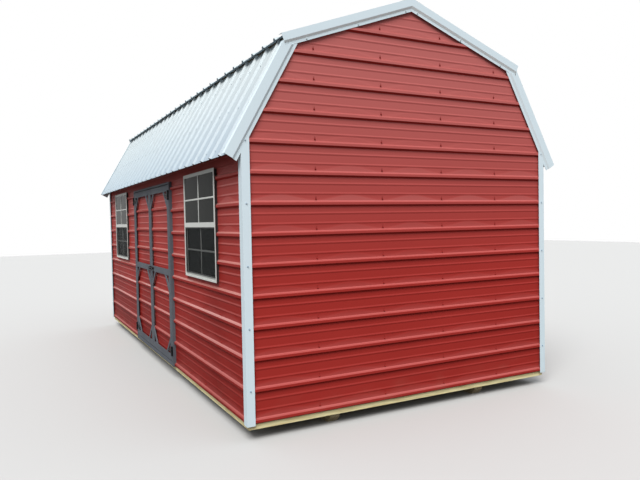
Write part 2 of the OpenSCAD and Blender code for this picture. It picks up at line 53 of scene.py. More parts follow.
def addCamera():
    yaw = camera["yaw"]
    pitch = camera["pitch"]
    ahead = Vector((math.cos(pitch) * math.cos(yaw), math.cos(pitch) * math.sin(yaw), math.sin(pitch)))
    side = ahead.cross(Vector((0, 0, 1))).normalized()
    down = ahead.cross(side)
    rollCos = math.cos(camera["roll"])
    rollSin = math.sin(camera["roll"])
    right = rollCos * side + rollSin * down
    below = rollCos * down - rollSin * side
    lens = bpy.data.cameras.new("camera")
    lens.sensor_width = camera["sensor"]
    lens.lens = camera["focalPixels"] * camera["sensor"] / camera["pictureWidth"]
    lens.clip_end = camera["farthest"]
    eye = bpy.data.objects.new("camera", lens)
    turn = Matrix((right, -below, -ahead)).transposed().to_4x4()
    eye.matrix_world = Matrix.Translation(camera["place"]) @ turn
    bpy.context.scene.collection.objects.link(eye)
    bpy.context.scene.camera = eye


addCamera()
print("camera placed")


# a socket that takes Python's own arithmetic, each operation adding its node
class Wire:
    def __init__(self, tree, node, output=0):
        self.tree = tree
        self.node = node
        self.socket = node.outputs[output] if len(node.outputs) else None  # the last node has no output

    def out(self, name):
        return Wire(self.tree, self.node, name)

    def maths(self, operation, *terms):
        return self.tree.add("ShaderNodeMath", {"operation": operation}, dict(enumerate(terms)))

    def __add__(self, other):
        return self.maths("ADD", self, other)

    def __radd__(self, other):
        return self.maths("ADD", other, self)

    def __sub__(self, other):
        return self.maths("SUBTRACT", self, other)

    def __rsub__(self, other):
        return self.maths("SUBTRACT", other, self)

    def __mul__(self, other):
        return self.maths("MULTIPLY", self, other)

    def __rmul__(self, other):
        return self.maths("MULTIPLY", other, self)

    def __gt__(self, other):
        return self.maths("GREATER_THAN", self, other)

    def __lt__(self, other):
        return self.maths("LESS_THAN", self, other)

    def __abs__(self):
        return self.maths("ABSOLUTE", self)

    def sine(self):
        return self.maths("SINE", self)

    def most(self, other):
        return self.maths("MAXIMUM", self, other)

    # distance to the nearest of marks that stand a step apart
    def nearest(self, first, step):
        return self.maths("PINGPONG", self - first, step / 2)

    # distance past the last of such marks
    def after(self, first, step):
        return self.maths("FLOORED_MODULO", self - first, step)

    # 0 up to low, 1 from high on, and a smooth rise between them
    def rise(self, low, high):
        return self.tree.add("ShaderNodeMapRange", {"interpolation_type": "SMOOTHSTEP"},
                             {"Value": self, "From Min": low, "From Max": high})


# a node tree, with one method that adds any node
class Tree:
    def __init__(self, nodeTree):
        self.nodeTree = nodeTree

    def add(self, kind, settings=None, values=None):
        node = self.nodeTree.nodes.new(kind)
        for key, value in (settings or {}).items():
            setattr(node, key, value)
        for key, value in (values or {}).items():
            self.join(node.inputs[key], value)
        return Wire(self, node)

    def join(self, socket, value):
        if isinstance(value, Wire):
            self.nodeTree.links.new(value.socket, socket)
        elif socket.type == "RGBA":
            socket.default_value = (*value, 1)
        else:
            socket.default_value = value

    # a Mix node's colours are its inputs 6 and 7, and its output 2
    def mixed(self, share, low, high):
        return self.add("ShaderNodeMix", {"data_type": "RGBA"}, {0: share, 6: low, 7: high}).out(2)

    def part(self, vector, name):
        return self.add("ShaderNodeSeparateXYZ", None, {0: vector}).out(name)

    # 1 where the camera, a reflection or clear glass looks straight at a surface, and 0 for spread light
    def seenShare(self):
        path = self.add("ShaderNodeLightPath")
        direct = path.out("Is Camera Ray").most(path.out("Is Glossy Ray"))
        return direct.most(path.out("Is Transmission Ray"))


noiseRoughness = 0.55


# a material on the principled shader
class Finish(Tree):
    def __init__(self, name, colour, roughness, specular):
        self.material = bpy.data.materials.new(name)
        self.material.use_nodes = True
        super().__init__(self.material.node_tree)
        self.shader = self.nodeTree.nodes["Principled BSDF"]
        self.position = self.add("ShaderNodeTexCoord").out("Object")
        self.set("Base Color", colour)
        self.set("Roughness", roughness)
        self.set("Specular IOR Level", specular)

    def set(self, name, value):
        self.join(self.shader.inputs[name], value)

    def axis(self, name):
        return self.part(self.position, name)

    def facing(self, name):
        return self.part(self.add("ShaderNodeTexCoord").out("Normal"), name)

    def scaled(self, size):
        return self.add("ShaderNodeVectorMath", {"operation": "MULTIPLY"}, {0: self.position, 1: size})

    def noise(self, size, scale, detail):
        return self.add("ShaderNodeTexNoise", None, {
            "Vector": self.scaled(size), "Scale": scale, "Detail": detail, "Roughness": noiseRoughness})

    def cells(self, size, scale):
        return self.add("ShaderNodeTexVoronoi", None, {"Vector": self.scaled(size), "Scale": scale})

    def bump(self, height, distance):
        self.set("Normal", self.add("ShaderNodeBump", None, {"Distance": distance, "Height": height}))


colours = {
    "window": (0.63, 0.64, 0.61),
    "windowShade": (0.58, 0.59, 0.56),
    "sideShade": (0.045, 0.04, 0.04),
    "dust": (0.30, 0.235, 0.18),
    "primer": (0.44, 0.43, 0.39),
    "pine": (0.50, 0.37, 0.20),
    "pineGrain": (0.34, 0.22, 0.10),
    "rim": (0.80, 0.71, 0.40),
    "rimGrain": (0.66, 0.55, 0.28),
    "treated": (0.52, 0.43, 0.27),
    "treatedGrain": (0.40, 0.31, 0.17),
    "strands": (0.40, 0.29, 0.16),
    "strandFlake": (0.54, 0.42, 0.25),
    "door": (0.113, 0.123, 0.14),
    "doorShade": (0.09, 0.099, 0.115),
    "doorWorn": (0.22, 0.215, 0.20),
    "iron": (0.012, 0.012, 0.013),
    "ironShade": (0.010, 0.010, 0.011),
    "ironWorn": (0.05, 0.04, 0.035),
    "glass": (0.016, 0.018, 0.016),
    "mesh": (0.022, 0.024, 0.024),
}

# the tones of painted steel: darker near the ground as painted shade, at mid height, and lighter high up
# as painted light and sky reflection; a painted sky highlight on what faces up, a painted tone on what
# faces the ground, and painted shade in the creases; upFades is how much less of that painted sky
# highlight a slope has high up, and upLow is the share of it that is left below the heights of upRise
redPaint = {
    "low": (0.31, 0.026, 0.021),
    "middle": (0.375, 0.034, 0.028),
    "high": (0.50, 0.145, 0.135),
    "up": (0.53, 0.19, 0.18),
    "upFades": 1.0,
    "upLow": 0.55,
    "upRise": (1.5, 2.4),
    "down": (0.375, 0.034, 0.028),
    "creaseShade": (0.17, 0.02, 0.018),
}
# on the long walls the ribs get a stronger painted highlight of the open sky, which fades less high up
# and is mostly gone low down, and the painted shade near the ground is darker
redGlare = {
    **redPaint,
    "low": (0.175, 0.011, 0.009),
    "up": (0.78, 0.42, 0.37),
    "upFades": 0.35,
    "upLow": 0.15,
    "upRise": (0.1, 1.4),
}
# white trims: what faces the ground is painted lighter, as painted light, and the tone near the ground
# and on upward faces high up is a little darker, as painted shade
whitePaint = {
    "low": (0.63, 0.74, 0.79),
    "middle": (0.67, 0.77, 0.82),
    "high": (0.67, 0.77, 0.82),
    "up": (0.67, 0.77, 0.82),
    "upFades": 1.0,
    "upLow": 1.0,
    "upRise": (0, 1),
    "down": (0.95, 1.0, 1.0),
    "creaseShade": (0.63, 0.74, 0.79),
}
# the roof's tones: painted shade towards the eaves and painted light towards the ridge; the ribs' flanks
# get a painted highlight, and what faces down a painted tone of its own
roofPaint = {
    "low": (0.21, 0.315, 0.445),
    "middle": (0.23, 0.335, 0.455),
    "high": (0.545, 0.59, 0.59),
    "up": (0.52, 0.59, 0.62),
    "upFades": 0.0,
    "upLow": 1.0,
    "upRise": (0, 1),
    "down": (0.42, 0.50, 0.56),
}

# in the dictionaries of finishes a noise is its size along X, Y and Z, its scale and its detail, a pair
# is where a tone begins and where it is full, and a share is how much of it there is then
steel = {
    "roughness": 0.36,
    "specular": 0.006,
    "coatRoughness": 0.16,
    "clouds": ((1, 1, 1), 0.9, 2),
    "waves": ((0.5, 0.5, 2.4), 1.7, 1),
    "grime": ((2.2, 2.2, 6), 2.0, 5),
    "cloudy": (0.3, 0.7),
    "cloudShare": 0.4,
    # these keys set painted light and shade: painted shade near the ground that gives way with height,
    # painted light high up, a painted sky highlight on what faces up, and painted shade on it high up
    "toMiddle": (0.1, 1.5),
    "middleShare": 0.6,
    "toHigh": (1.0, 3.2),
    "highShare": 0.95,
    "slope": (0.12, 0.6),
    "upShare": 0.45,
    "upShadeShare": 0.3,
    "splash": (0.1, 0.4),
    "splashGrime": (0.4, 0.85),
    "splashShare": 0.12,
    "ledgeGrime": (0.4, 0.9),
    "ledgeShare": 0.1,
    "cloudRoughness": 0.06,
    "dustRoughness": 0.5,
    "back": -0.3,
}

# how the thin sheet gives: it swells above each main rib and is drawn in at the screws, in the bump; the
# swell gets a painted highlight, strongest about one height, the foot of each main rib a painted
# highlight too, and the creases at the screws a painted shade higher up
slack = {
    "screwRow": 0.185,
    "ribPitch": 0.2286,
    "ribFoot": 0.166,
    "swellLow": 0.008,
    "swellHigh": 0.044,
    "edge": 0.011,
    "footHighlight": 0.05,
    "height": 1.83,
    "reach": (0.05, 0.38),
    "swellHighlightShare": 0.32,
    "leastSwellHighlight": 0.06,
    "footHighlightShare": 0.22,
    "creaseAside": (0.002, 0.008),
    "creaseUp": (0.006, 0.026),
    "shadeHeights": (1.35, 1.8),
    "creaseShadeShare": 0.45,
    "swellDepth": 0.5,
    "depth": 0.002,
}


# where a sheet swells and creases, and where the painted highlight at a rib's foot goes; its rows of
# screws stand a step apart along an axis, from first on
def sheetSlack(finish, axis, first, step):
    aside = finish.axis(axis).nearest(first, step)
    z = finish.axis("Z")
    overRib = z.after(slack["ribFoot"], slack["ribPitch"])
    fromScrew = z.nearest(slack["screwRow"], slack["ribPitch"])
    scallop = aside.rise(0, step / 2) * slack["swellHigh"] + slack["swellLow"]
    swell = 1 - (overRib - scallop).rise(-slack["edge"], slack["edge"])
    footHighlight = 1 - overRib.rise(0, slack["footHighlight"])
    creaseShade = (1 - aside.rise(*slack["creaseAside"])) * (1 - fromScrew.rise(*slack["creaseUp"]))
    return swell, footHighlight, creaseShade


# painted sheet steel, with or without rows of screws; a wall's sheet looks outwards along an axis, and
# its back is only primed
def paintedSteel(name, tones, roughness=steel["roughness"], rows=None, gloss=1.0, ribsAcross=False,
                 outwards=None):
    finish = Finish(name, tones["middle"], roughness, steel["specular"])
    cloud = finish.noise(*steel["clouds"])
    grime = finish.noise(*steel["grime"])
    wave = finish.noise(*steel["waves"])
    z = finish.axis("Z")
    high = z.rise(*steel["toHigh"])
    slope = finish.facing("Z")
    up = (abs(finish.facing("X")) if ribsAcross else slope).rise(*steel["slope"])
    under = (slope * -1).rise(*steel["slope"])
    cloudy = cloud.rise(*steel["cloudy"]) * steel["cloudShare"]
    # painted shade near the ground, broken by the clouds of tone, painted light high up, and a painted
    # tone on what faces the ground
    above = cloudy + z.rise(*steel["toMiddle"]) * steel["middleShare"]
    paint = finish.mixed(above, tones["low"], tones["middle"])
    paint = finish.mixed(high * steel["highShare"], paint, tones["high"])
    paint = finish.mixed(under, paint, tones["down"])
    if rows:
        swell, footHighlight, creaseShade = sheetSlack(finish, *rows)
        # a painted highlight on the swells, strongest about one height
        highlightNearHeight = 1 - abs(z - slack["height"]).rise(*slack["reach"])
        swellHighlight = swell * (highlightNearHeight * slack["swellHighlightShare"] + slack["leastSwellHighlight"])
        # a painted highlight just above each main rib's foot, fading high up
        footHighlightMix = footHighlight * (1 - high) * slack["footHighlightShare"]
        paint = finish.mixed(swellHighlight + footHighlightMix, paint, tones["high"])
        # painted shade in the creases at the screws, high up, where the eye meets them from below; the
        # swells and creases are also in the bump
        paintedShade = z.rise(*slack["shadeHeights"]) * slack["creaseShadeShare"]
        paint = finish.mixed(creaseShade * paintedShade, paint, tones["creaseShade"])
        wave = wave + swell * slack["swellDepth"] - creaseShade
    # a painted sky highlight on what faces up, on the roof on the ribs' flanks: weaker low down and
    # fading high up; off the roof those faces get painted shade high up instead
    up = up * (z.rise(*tones["upRise"]) * (1 - tones["upLow"]) + tones["upLow"])
    paint = finish.mixed(up * (1 - high * tones["upFades"]) * steel["upShare"], paint, tones["up"])
    if not ribsAcross:
        paint = finish.mixed(up * high * steel["upShadeShare"], paint, tones["creaseShade"])
    splashed = (1 - z.rise(*steel["splash"])) * grime.rise(*steel["splashGrime"]) * steel["splashShare"]
    dusty = splashed + up * grime.rise(*steel["ledgeGrime"]) * steel["ledgeShare"]
    coat = up * gloss
    if outwards:
        isBack = finish.facing(outwards) * finish.axis(outwards) < steel["back"]
        paint = finish.mixed(isBack, paint, colours["primer"])
        coat = coat * (1 - isBack)
    finish.set("Base Color", finish.mixed(dusty, paint, colours["dust"]))
    finish.set("Roughness", roughness + cloud * steel["cloudRoughness"] + dusty * steel["dustRoughness"])
    finish.set("Coat Weight", coat)
    finish.set("Coat Roughness", steel["coatRoughness"])
    finish.bump(wave, slack["depth"])
    return finish


# screws in the wall's red, in its painted shade near the ground; high on the wall they get more painted
# shade, for there the eye meets their undersides
screwPaint = {
    "roughness": 0.5,
    "specular": 0.05,
    "shadeShare": 0.6,
}


def paintedScrews():
    finish = Finish("screwPaint", redPaint["middle"], screwPaint["roughness"], screwPaint["specular"])
    paintedShade = finish.axis("Z").rise(*slack["shadeHeights"]) * screwPaint["shadeShare"]
    finish.set("Base Color", finish.mixed(paintedShade, redPaint["low"], redPaint["creaseShade"]))
    return finish


# sawn timber: bands of grain along one axis, fine fibres and a few knots
wood = {
    "roughness": 0.75,
    "specular": 0.2,
    "alongGrain": 1.2,
    "acrossGrain": 16,
    "warp": (0.8, 3),
    "fineness": 5,
    "fine": (2.0, 4),
    "bands": 46,
    "bandShare": 0.55,
    "fineShare": 0.45,
    "streaks": (0.25, 0.85),
    "knotSize": 0.5,
    "knotScale": 0.62,
    "knotEdge": (0.05, 0.16),
    "knotShare": 0.75,
    "knotShade": (0.35, 0.3, 0.28),
    "smoother": 0.07,
    "fineRoughness": 0.15,
    "streakDepth": 0.6,
    "fineDepth": 0.4,
    "depth": 0.0012,
}


def timber(name, kind, along):
    colour = colours[kind]
    grain = colours[kind + "Grain"]
    finish = Finish(name, colour, wood["roughness"], wood["specular"])
    size = [wood["alongGrain"] if axis == along else wood["acrossGrain"] for axis in "XYZ"]
    warp = finish.noise(size, *wood["warp"])
    fine = finish.noise([wood["fineness"] * side for side in size], *wood["fine"])
    bands = (warp * wood["bands"]).sine() * 0.5 + 0.5
    streaks = (bands * wood["bandShare"] + fine * wood["fineShare"]).rise(*wood["streaks"])
    cell = finish.cells([wood["knotSize"] * side for side in size], wood["knotScale"])
    knot = (1 - cell.rise(*wood["knotEdge"])) * wood["knotShare"]
    knotColour = [tone * shade for tone, shade in zip(grain, wood["knotShade"])]
    finish.set("Base Color", finish.mixed(knot, finish.mixed(streaks, colour, grain), knotColour))
    finish.set("Roughness", wood["roughness"] - wood["smoother"] + fine * wood["fineRoughness"])
    finish.bump(streaks * wood["streakDepth"] + fine * wood["fineDepth"], wood["depth"])
    return finish


# boards of pressed wood strands
board = {
    "roughness": 0.8,
    "specular": 0.2,
    "flakeSize": (14, 34, 34),
    "flakeScale": 1.0,
    "flakeShare": 0.6,
    "fine": ((30, 30, 30), 2.0, 4),
    "fineShare": 0.4,
    "tones": (0.15, 0.85),
    "depth": 0.001,
}


def boarding():
    finish = Finish("strandBoard", colours["strands"], board["roughness"], board["specular"])
    flake = finish.cells(board["flakeSize"], board["flakeScale"]).out("Color")
    flakeTone = finish.add("ShaderNodeSeparateColor", None, {0: flake})
    tone = flakeTone * board["flakeShare"] + finish.noise(*board["fine"]) * board["fineShare"]
    paint = finish.mixed(tone.rise(*board["tones"]), colours["strands"], colours["strandFlake"])
    finish.set("Base Color", paint)
    finish.bump(tone, board["depth"])
    return finish


# grey paint on boards: the grain shows through, upright on the stiles and level on the rails
doorPaint = {
    "roughness": 0.6,
    "specular": 0.05,
    "clouds": ((1.5, 1.5, 1.5), 2.0, 4),
    "cloudy": (0.3, 0.7),
    "upright": ((60, 60, 3), 1.6, 5),
    "level": ((3, 60, 60), 1.6, 5),
    "meetingStileEnd": 0.058,
    "outerStileStart": 0.838,
    "worn": (0.62, 0.8),
    "wornShare": 0.35,
    "leastRoughness": 0.5,
    "grainRoughness": 0.25,
    "depth": 0.0012,
}


def paintedBoards():
    finish = Finish("doorPaint", colours["door"], doorPaint["roughness"], doorPaint["specular"])
    cloudy = finish.noise(*doorPaint["clouds"]).rise(*doorPaint["cloudy"])
    acrossLeaf = abs(finish.axis("X"))
    onStile = (acrossLeaf < doorPaint["meetingStileEnd"]) + (acrossLeaf > doorPaint["outerStileStart"])
    upright = finish.noise(*doorPaint["upright"])
    level = finish.noise(*doorPaint["level"])
    grain = onStile * upright + (1 - onStile) * level
    worn = grain.rise(*doorPaint["worn"]) * doorPaint["wornShare"]
    paint = finish.mixed(cloudy, colours["doorShade"], colours["door"])
    finish.set("Base Color", finish.mixed(worn, paint, colours["doorWorn"]))
    finish.set("Roughness", doorPaint["leastRoughness"] + grain * doorPaint["grainRoughness"])
    finish.bump(grain, doorPaint["depth"])
    return finish


blackPaint = {
    "roughness": 0.5,
    "specular": 0.08,
    "grain": ((1, 1, 1), 160.0, 3),
    "wear": ((1, 1, 1), 30.0, 4),
    "worn": (0.58, 0.75),
    "wornShare": 0.4,
    "leastRoughness": 0.45,
    "wornRoughness": 0.3,
    "depth": 0.0003,
}


def blackIron():
    finish = Finish("blackIron", colours["iron"], blackPaint["roughness"], blackPaint["specular"])
    wear = finish.noise(*blackPaint["wear"]).rise(*blackPaint["worn"])
    paint = finish.mixed(wear * blackPaint["wornShare"], colours["ironShade"], colours["ironWorn"])
    finish.set("Base Color", paint)
    finish.set("Roughness", blackPaint["leastRoughness"] + wear * blackPaint["wornRoughness"])
    finish.bump(finish.noise(*blackPaint["grain"]), blackPaint["depth"])
    return finish


# dark, nearly opaque glass: painted shade of the dim inside behind it
glazing = {
    "roughness": 0.05,
    "specular": 0.012,
    "smears": ((2, 2, 5), 2.0, 4),
    "smeared": (0.4, 0.8),
    "leastRoughness": 0.03,
    "smearRoughness": 0.08,
    "alpha": 0.86,
    "smearAlpha": 0.05,
}


def windowPane():
    finish = Finish("windowPane", colours["glass"], glazing["roughness"], glazing["specular"])
    smear = finish.noise(*glazing["smears"]).rise(*glazing["smeared"])
    finish.set("Roughness", glazing["leastRoughness"] + smear * glazing["smearRoughness"])
    finish.set("Alpha", glazing["alpha"] + smear * glazing["smearAlpha"])
    return finish


# how far from the middle of the wall a window's middle is
windowMiddle = 1.967

# white vinyl; the frame's outer sides behind its face are painted dark, as painted shade
windowFrame = {
    "roughness": 0.45,
    "specular": 0.1,
    "clouds": ((3, 3, 3), 1.0, 4),
    "cloudy": (0.3, 0.7),
    "leastRoughness": 0.4,
    "cloudRoughness": 0.1,
    "sideShadeRoughness": 0.3,
    "sideShadeWidth": 0.015,
    "sideShadeBehindFace": 0.003,
}


def windowVinyl():
    finish = Finish("windowVinyl", colours["window"], windowFrame["roughness"], windowFrame["specular"])
    low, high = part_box("window_frames")
    halfWidth = high[0] - windowMiddle - windowFrame["sideShadeWidth"]
    halfHeight = (high[2] - low[2]) / 2 - windowFrame["sideShadeWidth"]
    cloud = finish.noise(*windowFrame["clouds"])
    vinyl = finish.mixed(cloud.rise(*windowFrame["cloudy"]), colours["windowShade"], colours["window"])
    beside = abs(abs(finish.axis("X")) - windowMiddle) > halfWidth
    overOrUnder = abs(finish.axis("Z") - (low[2] + high[2]) / 2) > halfHeight
    behind = finish.axis("Y") > low[1] + windowFrame["sideShadeBehindFace"]
    # the frame's outer sides behind its face: painted shade
    sideShade = beside.most(overOrUnder) * behind
    finish.set("Base Color", finish.mixed(sideShade, vinyl, colours["sideShade"]))
    finish.set("Roughness", windowFrame["leastRoughness"] + cloud * windowFrame["cloudRoughness"]
               + sideShade * windowFrame["sideShadeRoughness"])
    return finish


# insect mesh, with open air between its threads
netting = {
    "roughness": 0.7,
    "specular": 0.02,
    "threadStep": 0.0016,
    "alpha": 0.58,
    "threadAlpha": 0.2,
    "depth": 0.0002,
}


def insectMesh():
    finish = Finish("insectMesh", colours["mesh"], netting["roughness"], netting["specular"])
    turns = 2 * math.pi / netting["threadStep"]
    weave = (finish.axis("X") * turns).sine() * 0.5 + (finish.axis("Z") * turns).sine() * 0.5
    finish.set("Alpha", netting["alpha"] + weave * netting["threadAlpha"])
    finish.bump(weave, netting["depth"])
    return finish


# the walls' screws stand in the studs behind the sheets, from stud to stud
studStep = {
    "gable": 0.61,
    "front": 0.476,
    "back": 0.6016,
}
gableRows = ("Y", studStep["gable"] / 2, studStep["gable"])
frontRows = ("X", windowMiddle, studStep["front"])
backRows = ("X", 0, studStep["back"])
gableSteel = paintedSteel("gableSteel", redPaint, rows=gableRows, gloss=0.6, outwards="X")
frontSteel = paintedSteel("frontSteel", redGlare, rows=frontRows, outwards="Y")
backSteel = paintedSteel("backSteel", redGlare, rows=backRows, outwards="Y")
leafSteel = paintedSteel("leafSteel", redGlare, outwards="Y")
whiteSteel = paintedSteel("whiteSteel", whitePaint, roughness=0.42, gloss=0.3)
roofSteel = paintedSteel("roofSteel", roofPaint, roughness=0.34, gloss=0.2, ribsAcross=True)
screwSteel = paintedScrews()
vinyl = windowVinyl()
rimX = timber("rimLengthwise", "rim", "X")
rimY = timber("rimCrosswise", "rim", "Y")
treatedX = timber("treatedLengthwise", "treated", "X")
pineX = timber("pineLengthwise", "pine", "X")
pineY = timber("pineCrosswise", "pine", "Y")
pineZ = timber("pineUpright", "pine", "Z")
strandBoard = boarding()
doorBoards = paintedBoards()
iron = blackIron()
pane = windowPane()
mesh = insectMesh()

nodeFinish = {
    "skids": treatedX, "side_rims": rimX, "end_rims": rimY, "floor_joists": rimY,
    "floor_deck": strandBoard, "bottom_plates": pineX, "top_plates": pineX, "front_studs": pineZ,
    "back_studs": pineZ, "end_studs": pineZ, "headers_and_sills": pineX, "lower_rafters": pineZ,
    "upper_rafters": pineY, "ridge_board": pineX, "lower_roof_boards": strandBoard,
    "upper_roof_boards": strandBoard, "front_siding_lower": frontSteel, "front_siding_piers": frontSteel,
    "front_siding_upper": frontSteel, "back_siding": backSteel, "right_gable_siding": gableSteel,
    "left_gable_siding": gableSteel, "corner_trims": whiteSteel, "lower_rake_trims": whiteSteel,
    "front_upper_rake_trims": whiteSteel, "back_upper_rake_trims": whiteSteel,
    "lower_roof_sheets": roofSteel, "upper_roof_sheets": roofSteel, "ridge_cap": roofSteel,
    "window_frames": vinyl, "window_sashes": vinyl, "window_glass": pane,
    "door_trim": doorBoards, "door_sill": doorBoards, "hinge_plates": iron,
    "left_door_boards": doorBoards, "right_door_boards": doorBoards,
    "left_door_panel": leafSteel, "right_door_panel": leafSteel,
    "left_door_back_frame": pineZ, "right_door_back_frame": pineZ,
    "left_door_straps": iron, "right_door_straps": iron, "latch_keeper": iron, "latch_bolt": iron,
}
for name, finish in nodeFinish.items():
    slots = nodes[name].data.materials
    if len(slots):
        for i in range(len(slots)):
            slots[i] = finish.material
    else:
        slots.append(finish.material)
print("finishes on", len(nodeFinish), "nodes")

straight = 0.9  # the least cosine at which a face counts as looking along an axis
smoothAngle = math.radians(35)


def deselectAll():
    bpy.ops.object.select_all(action="DESELECT")


# selects one object alone
def only(piece):
    deselectAll()
    piece.select_set(True)
    bpy.context.view_layer.objects.active = piece


def startEdit(piece):
    only(piece)
    bpy.ops.object.mode_set(mode="EDIT")
    bpy.ops.mesh.select_mode(type="FACE")


def endEdit():
    bpy.ops.object.mode_set(mode="OBJECT")


# in edit mode, selects the faces that pass a test of their middle and normal
def pickFaces(test):
    bpy.ops.mesh.select_all(action="DESELECT")
    shape = bmesh.from_edit_mesh(bpy.context.object.data)
    for face in shape.faces:
        face.select_set(bool(test(face.calc_center_median(), face.normal)))
    bmesh.update_edit_mesh(bpy.context.object.data)


def extrude(way):
    bpy.ops.mesh.extrude_region_move(TRANSFORM_OT_translate={"value": way})


def inset(thickness, depth=0.0):
    bpy.ops.mesh.inset(thickness=thickness, depth=depth)


def settle(piece):
    only(piece)
    bpy.ops.object.transform_apply(location=True, rotation=True, scale=True)


def addCylinder(sides, radius, length, place, turn=(0, 0, 0)):
    deselectAll()
    bpy.ops.mesh.primitive_cylinder_add(vertices=sides, radius=radius, depth=length, location=place,
                                        rotation=turn)
    piece = bpy.context.object
    settle(piece)
    return piece


def addModifier(piece, kind, **settings):
    modifier = piece.modifiers.new(kind.lower(), kind)
    for key, value in settings.items():
        setattr(modifier, key, value)
    only(piece)
    bpy.ops.object.modifier_apply(modifier=modifier.name)


def bevelEdges(piece, width):
    addModifier(piece, "BEVEL", width=width, segments=2, limit_method="ANGLE")


# a copy with its own mesh, moved and turned, then repeated along each step
def copyPiece(piece, place=(0, 0, 0), turn=(0, 0, 0), steps=()):
    only(piece)
    bpy.ops.object.duplicate()
    copy = bpy.context.object
    copy.location = place
    copy.rotation_euler = turn
    settle(copy)
    for step, count in steps:
        addModifier(copy, "ARRAY", count=count, use_relative_offset=False,
                    use_constant_offset=True, constant_offset_displace=step)
    return copy


def joined(pieces):
    only(pieces[0])
    for piece in pieces:
        piece.select_set(True)
    bpy.ops.object.join()
    return bpy.context.object


def finished(piece, name, body, finish):
    piece.name = name
    piece.data.name = name
    piece.data.materials.clear()
    piece.data.materials.append(finish.material)
    only(piece)
    bpy.ops.object.shade_smooth_by_angle(angle=smoothAngle)
    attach(piece, body)


# the bars of the windows' sashes, two panes by two in each
grille = {
    "meetingRail": 0.042,
    "lowerStep": 0.016,
    "bar": 0.014,
    "depth": 0.010,
    "bevel": 0.0015,
}
toLeftWindow = (-2 * windowMiddle, 0, 0)
glassLow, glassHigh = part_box("window_glass")
sashLow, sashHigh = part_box("window_sashes")
paneHeight = (glassHigh[2] - glassLow[2] - grille["meetingRail"]) / 2
paneHalfWidth = glassHigh[0] - windowMiddle
upperMiddle = glassHigh[2] - paneHeight / 2
lowerMiddle = glassLow[2] + paneHeight / 2


def modelGrille():
    half = grille["bar"] / 2
    middle = (windowMiddle, sashLow[1] + grille["depth"] / 2, upperMiddle)
    deselectAll()
    bpy.ops.mesh.primitive_cube_add(size=1, location=middle,
                                    scale=(grille["bar"], grille["depth"], grille["bar"]))
    piece = bpy.context.object
    settle(piece)
    startEdit(piece)
    for sign in (1, -1):
        pickFaces(lambda at, normal: normal.x * sign > straight)
        extrude((sign * (paneHalfWidth - half), 0, 0))
    for sign in (1, -1):
        pickFaces(lambda at, normal: normal.z * sign > straight and abs(at.x - windowMiddle) < half)
        extrude((0, 0, sign * (paneHeight / 2 - half)))
    endEdit()
    bevelEdges(piece, grille["bevel"])
    lower = copyPiece(piece, (0, grille["lowerStep"], lowerMiddle - upperMiddle))
    left = [copyPiece(bars, toLeftWindow) for bars in (piece, lower)]
    finished(joined([piece, lower] + left), "window_grilles", "building", vinyl)


modelGrille()
print("window grilles")


# the insect screen in front of each lower sash
screen = {
    "sideGap": 0.003,
    "aboveSill": 0.019,
    "belowRail": 0.003,
    "frontStep": 0.003,
    "frame": 0.009,
    "thickness": 0.007,
    "bevel": 0.001,
}


def modelScreens():
    width = 2 * (sashHigh[0] - windowMiddle - screen["sideGap"])
    low = sashLow[2] + screen["aboveSill"]
    high = lowerMiddle + paneHeight / 2 - screen["belowRail"]
    middle = Vector((windowMiddle, sashLow[1] + screen["frontStep"], (low + high) / 2))
    deselectAll()
    bpy.ops.mesh.primitive_plane_add(size=1, location=middle, rotation=(math.pi / 2, 0, 0))
    border = bpy.context.object
    border.scale = (width, high - low, 1)
    settle(border)
    startEdit(border)
    bpy.ops.mesh.select_all(action="SELECT")
    inset(screen["frame"])
    pickFaces(lambda at, normal: (at - middle).length < screen["frame"])
    bpy.ops.mesh.separate(type="SELECTED")
    endEdit()
    cloth = [piece for piece in bpy.context.selected_objects if piece != border][0]
    addModifier(border, "SOLIDIFY", thickness=screen["thickness"], offset=-1)
    bevelEdges(border, screen["bevel"])
    cloth.location = (0, screen["thickness"] / 2, 0)
    settle(cloth)
    frames = joined([border, copyPiece(border, toLeftWindow)])
    finished(frames, "screen_frames", "building", iron)
    cloths = joined([cloth, copyPiece(cloth, toLeftWindow)])
    finished(cloths, "screen_mesh", "building", mesh)


modelScreens()
print("insect screens")


# hex screws with sealing washers, modelled once upright and set out in rows
screw = {
    "sides": 10,
    "washerRadius": 0.0075,
    "washerHeight": 0.0012,
    "headRadius": 0.0045,
    "headHeight": 0.0045,
    "chamfer": 0.0008,
}


def modelScrew():
    halfWasher = screw["washerHeight"] / 2
    piece = addCylinder(screw["sides"], screw["washerRadius"], screw["washerHeight"], (0, 0, halfWasher))
    startEdit(piece)
    pickFaces(lambda at, normal: normal.z > straight)
    inset(screw["washerRadius"] - screw["headRadius"], halfWasher)
    extrude((0, 0, screw["headHeight"]))
    inset(screw["chamfer"], screw["chamfer"])
    endEdit()
    return piece


master = modelScrew()
toFront = (math.pi / 2, 0, 0)
toBack = (-math.pi / 2, 0, 0)
toGable = {1: (0, math.pi / 2, 0), -1: (0, -math.pi / 2, 0)}

# columns of screws up the walls: where each stands, in steps from stud to stud, and how many screws it
# has; on the gables the steps count from the middle, and on the front from a window's middle
wall = {
    "sheet": 0.002,
    "gableColumns": ((0.5, 14), (1.5, 13)),
    "frontColumns": ((1, 10), (-1, 10), (0, 5)),
    "backColumns": 9,
    "backRows": 10,
}


